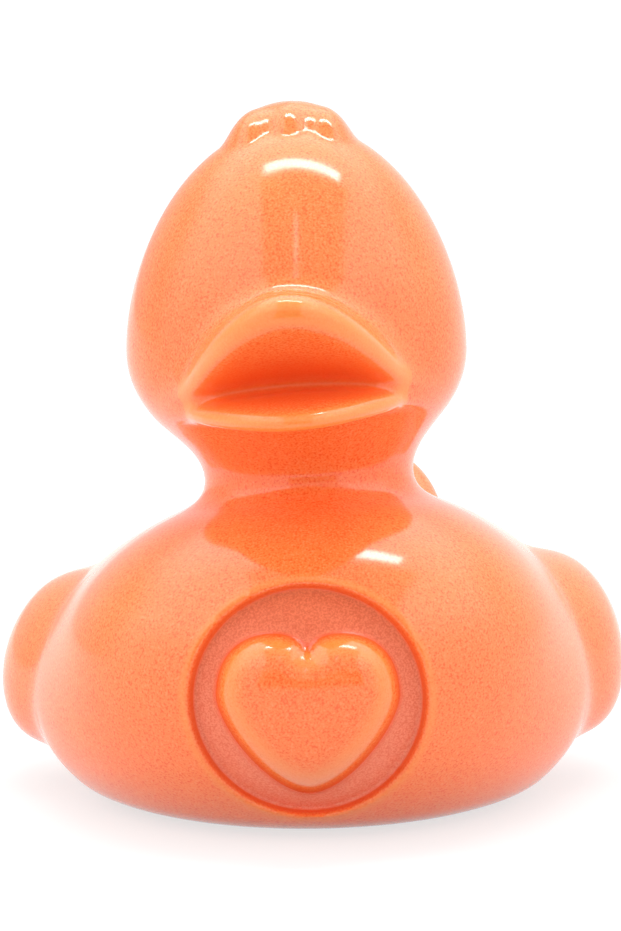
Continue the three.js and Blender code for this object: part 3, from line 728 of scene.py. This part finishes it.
# %% Distance from the middle of the recess
tilt = math.radians(DISC_TILT)
disc_middle = (shift[0] * MM, (BREAST_FRONT_Y + shift[1]) * MM, DISC_Z * MM)
rise = Vector((0, math.sin(tilt), math.cos(tilt))) / (DISC_ASPECT * MM)
from_middle = vector_maths("SUBTRACT", coordinates.outputs["Object"], disc_middle)["Vector"]
across = vector_maths("DOT_PRODUCT", from_middle, (1 / MM, 0, 0))["Value"]
height = vector_maths("DOT_PRODUCT", from_middle, rise)["Value"]
out = maths("SQRT", maths("ADD", times(across, across), times(height, height)))
inward = maths("SUBTRACT", DISC_RADIUS, out)
print("recess middle in mm:", [round(v / MM, 2) for v in disc_middle])

# %% Bands of the rim and the heart
RIM_HIGHLIGHT_START, RIM_HIGHLIGHT_END, RIM_HIGHLIGHT_PART = (-1.6, -1.0), (-0.3, -0.7), 0.4
WALL_SHADE_START, WALL_SHADE_END, WALL_SHADE_PART = (-0.4, 0.05), (0.75, 0.45), 0.75
FLOOR_START = (0.2, 0.6)
FOOT_SHADE_START, FOOT_SHADE_END = (0.005, 0.05), (0.3, 0.08)
HEART_CLEAR = (0.15, 0.02)
HEART_RIM_HIGHLIGHT_START, HEART_RIM_HIGHLIGHT_END, HEART_RIM_HIGHLIGHT_PART = (0.3, 0.5), (0.95, 0.75), 0.5
LIP_GLOW_PART, THROAT_BOUNCE_PART = 0.65, 0.8
on_breast, risen = mark("breast"), mark("heart_rise")
# Painted shade: the wall band and the foot band darken the recess wall and the heart's foot.
wall = times(spread(inward, *WALL_SHADE_START, 0, WALL_SHADE_PART), spread(inward, *WALL_SHADE_END))
foot_shade = times(spread(risen, *FOOT_SHADE_START), spread(risen, *FOOT_SHADE_END))
crease_shade = times(on_breast, maths("MAXIMUM", wall, foot_shade))
blasted = times(on_breast, times(spread(inward, *FLOOR_START), spread(risen, *HEART_CLEAR)))
# Painted highlights on the recess rim and the heart's rim, and a painted glow on the lips.
rim = times(spread(inward, *RIM_HIGHLIGHT_START, 0, RIM_HIGHLIGHT_PART), spread(inward, *RIM_HIGHLIGHT_END))
heart_rim_highlight = times(spread(risen, *HEART_RIM_HIGHLIGHT_START, 0, HEART_RIM_HIGHLIGHT_PART), spread(risen, *HEART_RIM_HIGHLIGHT_END))
lip_glow = spread(mark("lips"), 0, 1, 0, LIP_GLOW_PART)
painted_edge_light = maths("MAXIMUM", times(on_breast, maths("MAXIMUM", rim, heart_rim_highlight)), lip_glow)
# Painted shade and bounced light in the throat.
throat_bounce = spread(mark("throat"), 0, 1, 0, THROAT_BOUNCE_PART)
print("the golden rim is", RIM_HIGHLIGHT_END[1] - RIM_HIGHLIGHT_START[1], "mm wide at its strongest")

# %% Colour and polish
SPECKLE_SCALE, CLOUD_SCALE, GRAIN_SCALE, POLISH_SCALE = 3600, 90, 4200, 140
CLOUDY, CLOUD_PART = (0.35, 0.65), 0.18
DARK_SPECK, PEARL_SPECK, PEARL_PART = (0.48, 0.32), (0.55, 0.72), 0.5
GRAINY, WORN = (0.38, 0.62), (0.3, 0.7)
POLISHED, MATT = (0.09, 0.16), (0.5, 0.65)
speckle = noise(SPECKLE_SCALE, 2)
cloud = noise(CLOUD_SCALE, 3)
grain = noise(GRAIN_SCALE, 2)
colour = mix_colour(spread(cloud, *CLOUDY, 0, CLOUD_PART), CORAL, DEEP_CORAL)
colour = mix_colour(spread(speckle, *DARK_SPECK), colour, DEEP_CORAL)
colour = mix_colour(spread(speckle, *PEARL_SPECK, 0, PEARL_PART), colour, PEARL)
# Painted highlight and glow on the rims and the lips.
colour = mix_colour(painted_edge_light, colour, EDGE_LIGHT_GOLD)
# Painted shade and bounced light in the mouth.
colour = mix_colour(throat_bounce, colour, THROAT_BOUNCE_RED)
# Painted shade in the recess wall and at the heart's foot.
colour = mix_colour(crease_shade, colour, CREASE_SHADE_RED)
# Painted light and shade on the matt floor: lighter towards its foot, darker towards its top.
floor_shade_ramp = spread(height, -DISC_RADIUS, DISC_RADIUS)
floor_colour = mix_colour(floor_shade_ramp, FLOOR_LIT_FOOT, FLOOR_SHADED_TOP)
grain_colour = mix_colour(floor_shade_ramp, GRAIN_LIT_FOOT, GRAIN_SHADED_TOP)
floor_colour = mix_colour(spread(grain, *GRAINY), floor_colour, grain_colour)
links.new(mix_colour(blasted, colour, floor_colour), shader.inputs["Base Color"])
polish = spread(noise(POLISH_SCALE, 2), *WORN, *POLISHED)
matt = spread(grain, *WORN, *MATT)
links.new(mix_number(blasted, polish, matt), shader.inputs["Roughness"])
print("roughness from", POLISHED[0], "on the polish to", MATT[1], "on the floor")

# %% Ripple and tooth
RIPPLE_SCALE, RIPPLE_STRENGTH, RIPPLE_HEIGHT = 260, 0.1, 0.0001
TOOTH_STRENGTH, TOOTH_HEIGHT = 0.4, 0.00012
ripple = nodes.new("ShaderNodeBump")
ripple.inputs["Strength"].default_value = RIPPLE_STRENGTH
ripple.inputs["Distance"].default_value = RIPPLE_HEIGHT
links.new(noise(RIPPLE_SCALE, 2), ripple.inputs["Height"])
tooth = nodes.new("ShaderNodeBump")
tooth.inputs["Distance"].default_value = TOOTH_HEIGHT
links.new(grain, tooth.inputs["Height"])
links.new(spread(blasted, 0, 1, 0, TOOTH_STRENGTH), tooth.inputs["Strength"])
links.new(ripple.outputs["Normal"], tooth.inputs["Normal"])
links.new(tooth.outputs["Normal"], shader.inputs["Normal"])
skin_mesh.materials.clear()
skin_mesh.materials.append(vinyl)
print("vinyl nodes:", len(nodes))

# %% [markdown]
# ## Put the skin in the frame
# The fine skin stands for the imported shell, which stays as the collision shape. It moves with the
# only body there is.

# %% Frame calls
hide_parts("duck_shell")
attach(duck_skin, "root")

# %% [markdown]
# ## Floor and studio light
# The duck stands on white card in a tent of white walls. Their broad reflections veil both sides of
# it, and the darker gap in front, where a photographer stands, shows as the deeper strip down its
# face, with one bright slit in it. A dozen area lamps could make these, but one sky whose brightness
# depends on direction is easier to steer. The camera sees card and sky as plain white, and the light
# that bounces up from the card is that of a grey bench, so the underside stays deep in colour.

# %% Floor
FLOOR_BACK, FLOOR_FRONT, FLOOR_SIDE = 3.0, -0.12, 1.5
floor_corners = [
    (-FLOOR_SIDE, FLOOR_FRONT, 0),
    (FLOOR_SIDE, FLOOR_FRONT, 0),
    (FLOOR_SIDE, FLOOR_BACK, 0),
    (-FLOOR_SIDE, FLOOR_BACK, 0),
]
floor_mesh = bpy.data.meshes.new("floor")
floor_mesh.from_pydata(floor_corners, [], [(0, 1, 2, 3)])
floor = bpy.data.objects.new("floor", floor_mesh)
bpy.context.scene.collection.objects.link(floor)
print("floor", FLOOR_BACK - FLOOR_FRONT, "m deep")

# %% White card
PAPER_WHITE, PAPER_ROUGHNESS, PAPER_GLOW, BENCH_GREY = 0.9, 0.9, 0.7, 0.6
white_card = bpy.data.materials.new("white_card")
white_card.use_nodes = True
nodes, links = white_card.node_tree.nodes, white_card.node_tree.links
paper = nodes["Principled BSDF"]
paper.inputs["Base Color"].default_value = (PAPER_WHITE, PAPER_WHITE, PAPER_WHITE, 1)
paper.inputs["Roughness"].default_value = PAPER_ROUGHNESS
glow = nodes.new("ShaderNodeEmission")
lit_paper = nodes.new("ShaderNodeMixShader")
lit_paper.inputs["Fac"].default_value = PAPER_GLOW
links.new(paper.outputs["BSDF"], lit_paper.inputs[1])
links.new(glow.outputs["Emission"], lit_paper.inputs[2])
bench = nodes.new("ShaderNodeBsdfDiffuse")
bench.inputs["Color"].default_value = (BENCH_GREY, BENCH_GREY, BENCH_GREY, 1)
ray = nodes.new("ShaderNodeLightPath").outputs
mirrored = maths("MAXIMUM", ray["Is Glossy Ray"], ray["Is Transmission Ray"])
in_sight = maths("MAXIMUM", ray["Is Camera Ray"], mirrored)
card = nodes.new("ShaderNodeMixShader")
links.new(in_sight, card.inputs["Fac"])
links.new(bench.outputs["BSDF"], card.inputs[1])
links.new(lit_paper.outputs["Shader"], card.inputs[2])
links.new(card.outputs["Shader"], nodes["Material Output"].inputs["Surface"])
floor_mesh.materials.append(white_card)
print("card", PAPER_WHITE, "over a bench of", BENCH_GREY)

# %% Helpers for the tent
world = bpy.context.scene.world or bpy.data.worlds.new("tent")
bpy.context.scene.world = world
world.use_nodes = True
nodes, links = world.node_tree.nodes, world.node_tree.links
nodes.clear()


def fade(value, start, end):
    node = nodes.new("ShaderNodeMapRange")
    node.interpolation_type = "SMOOTHSTEP"
    node.inputs["From Min"].default_value = start
    node.inputs["From Max"].default_value = end
    links.new(value, node.inputs["Value"])
    return node.outputs["Result"]


def blend_levels(factor, a, b):
    return maths("ADD", times(a, maths("SUBTRACT", 1.0, factor)), times(b, factor))


def away_from(value, middle):
    return maths("ABSOLUTE", maths("SUBTRACT", value, middle))


print("the tent is the world:", world.name)

# %% Walls, eaves and overhead panel
TENT_SIDE, TENT_EAVES, TENT_TOP = 1.37, 2.2, 2.46
TENT_BACK_LEFT, TENT_BACK_RIGHT = 0.72, 1.06
EAVES_RISE, BACK_ACROSS, BACK_BEGINS = (0.1, 0.6), (-0.4, 0.3), (0.0, 0.5)
PANEL_FRONT, PANEL_FOOT = (0.02, 0.2), (0.45, 0.8)
direction = nodes.new("ShaderNodeTexCoord")
parts = nodes.new("ShaderNodeSeparateXYZ")
links.new(direction.outputs["Generated"], parts.inputs["Vector"])
x, y, z = parts.outputs
sides = blend_levels(fade(z, *EAVES_RISE), TENT_SIDE, TENT_EAVES)
back_wall = blend_levels(fade(x, *BACK_ACROSS), TENT_BACK_LEFT, TENT_BACK_RIGHT)
walls = blend_levels(fade(y, *BACK_BEGINS), sides, back_wall)
panel = times(fade(y, *PANEL_FRONT), fade(z, *PANEL_FOOT))
tent = blend_levels(panel, walls, TENT_TOP)
print("walls", TENT_SIDE, "eaves", TENT_EAVES, "overhead", TENT_TOP)

# %% The gap in front and its slit
GAP_MIDDLE, GAP_HALF, GAP_EDGE = 0.09, 0.46, 0.04
GAP_LOW, GAP_HIGH = 0.26, 0.85
GAP_RISE, GAP_FRONT = (-0.05, 0.25), (0.05, -0.05)
SLIT_MIDDLE, SLIT_HALF, SLIT_LEVEL = 0.02, 0.04, 4.5
SLIT_FOOT, SLIT_HEAD = (0.56, 0.64), (0.9, 0.84)
gap = fade(away_from(x, GAP_MIDDLE), GAP_HALF + GAP_EDGE, GAP_HALF - GAP_EDGE)
gap = times(gap, fade(y, *GAP_FRONT))
slit = fade(away_from(x, SLIT_MIDDLE), SLIT_HALF, 0.0)
slit = times(slit, times(fade(z, *SLIT_FOOT), fade(z, *SLIT_HEAD)))
gap_level = blend_levels(slit, blend_levels(fade(z, *GAP_RISE), GAP_LOW, GAP_HIGH), SLIT_LEVEL)
studio = blend_levels(gap, tent, gap_level)
print("gap from", GAP_LOW, "to", GAP_HIGH)

# %% White for the camera
PLAIN_WHITE = 1.0
ray = nodes.new("ShaderNodeLightPath").outputs
looked_at = maths("MAXIMUM", ray["Is Camera Ray"], ray["Is Transmission Ray"])
strength = nodes.new("ShaderNodeMix")
links.new(looked_at, strength.inputs["Factor"])
links.new(studio, strength.inputs["A"])
strength.inputs["B"].default_value = PLAIN_WHITE
sky = nodes.new("ShaderNodeBackground")
sky.inputs["Color"].default_value = (1, 1, 1, 1)
links.new(strength.outputs["Result"], sky.inputs["Strength"])
surround = nodes.new("ShaderNodeOutputWorld")
links.new(sky.outputs["Background"], surround.inputs["Surface"])
print("world nodes:", len(nodes))

# %% [markdown]
# ## The bar lamp
# One long lamp straight overhead makes the crisp highlights on the brow, the lips and the heart. A
# bar gives the broad, short bands that the real duck shows, where a round lamp would give dots.

# %% The bar lamp
LAMP_LENGTH, LAMP_WIDTH, LAMP_POWER = 0.48, 0.08, 1.8
LAMP_PLACE = Vector((0.05, 0.05, 0.645))
lamp_data = bpy.data.lights.new("bar_lamp", "AREA")
lamp_data.shape = "RECTANGLE"
lamp_data.size, lamp_data.size_y = LAMP_LENGTH, LAMP_WIDTH
lamp_data.energy = LAMP_POWER
lamp = bpy.data.objects.new("bar_lamp", lamp_data)
lamp.location = LAMP_PLACE
bpy.context.scene.collection.objects.link(lamp)
print("lamp", LAMP_POWER, "W")

# %% [markdown]
# ## Camera
# A long lens about 0.6 m away looks slightly down at the duck, and is turned a little about its own
# axis. The long side of the picture takes the sensor's 36 mm.

# %% Camera
PICTURE_HEIGHT, PIXELS_PER_RADIAN, SENSOR_WIDTH = 931, 4979, 36
LOOK_AT = Vector((0.12, -2.2, 40.5)) * MM
CAMERA_DISTANCE = 0.6
CAMERA_AZIMUTH, CAMERA_ELEVATION, CAMERA_ROLL = 0.8, 8.5, -0.6
azimuth, elevation, roll = (math.radians(v) for v in (CAMERA_AZIMUTH, CAMERA_ELEVATION, CAMERA_ROLL))
level = math.cos(elevation)
back = Vector((math.sin(azimuth) * level, -math.cos(azimuth) * level, math.sin(elevation)))
right = (-back).cross(Vector((0, 0, 1))).normalized()
up = right.cross(-back)
right, up = math.cos(roll) * right + math.sin(roll) * up, math.cos(roll) * up - math.sin(roll) * right
camera_data = bpy.data.cameras.new("camera")
camera_data.sensor_width = SENSOR_WIDTH
camera_data.lens = SENSOR_WIDTH * PIXELS_PER_RADIAN / PICTURE_HEIGHT
camera = bpy.data.objects.new("camera", camera_data)
turned = Matrix((right, up, back)).transposed().to_4x4()
camera.matrix_world = Matrix.Translation(LOOK_AT + CAMERA_DISTANCE * back) @ turned
bpy.context.scene.collection.objects.link(camera)
bpy.context.scene.camera = camera
bpy.context.scene.view_settings.view_transform = "Standard"
print("lens", round(camera_data.lens, 1), "mm")
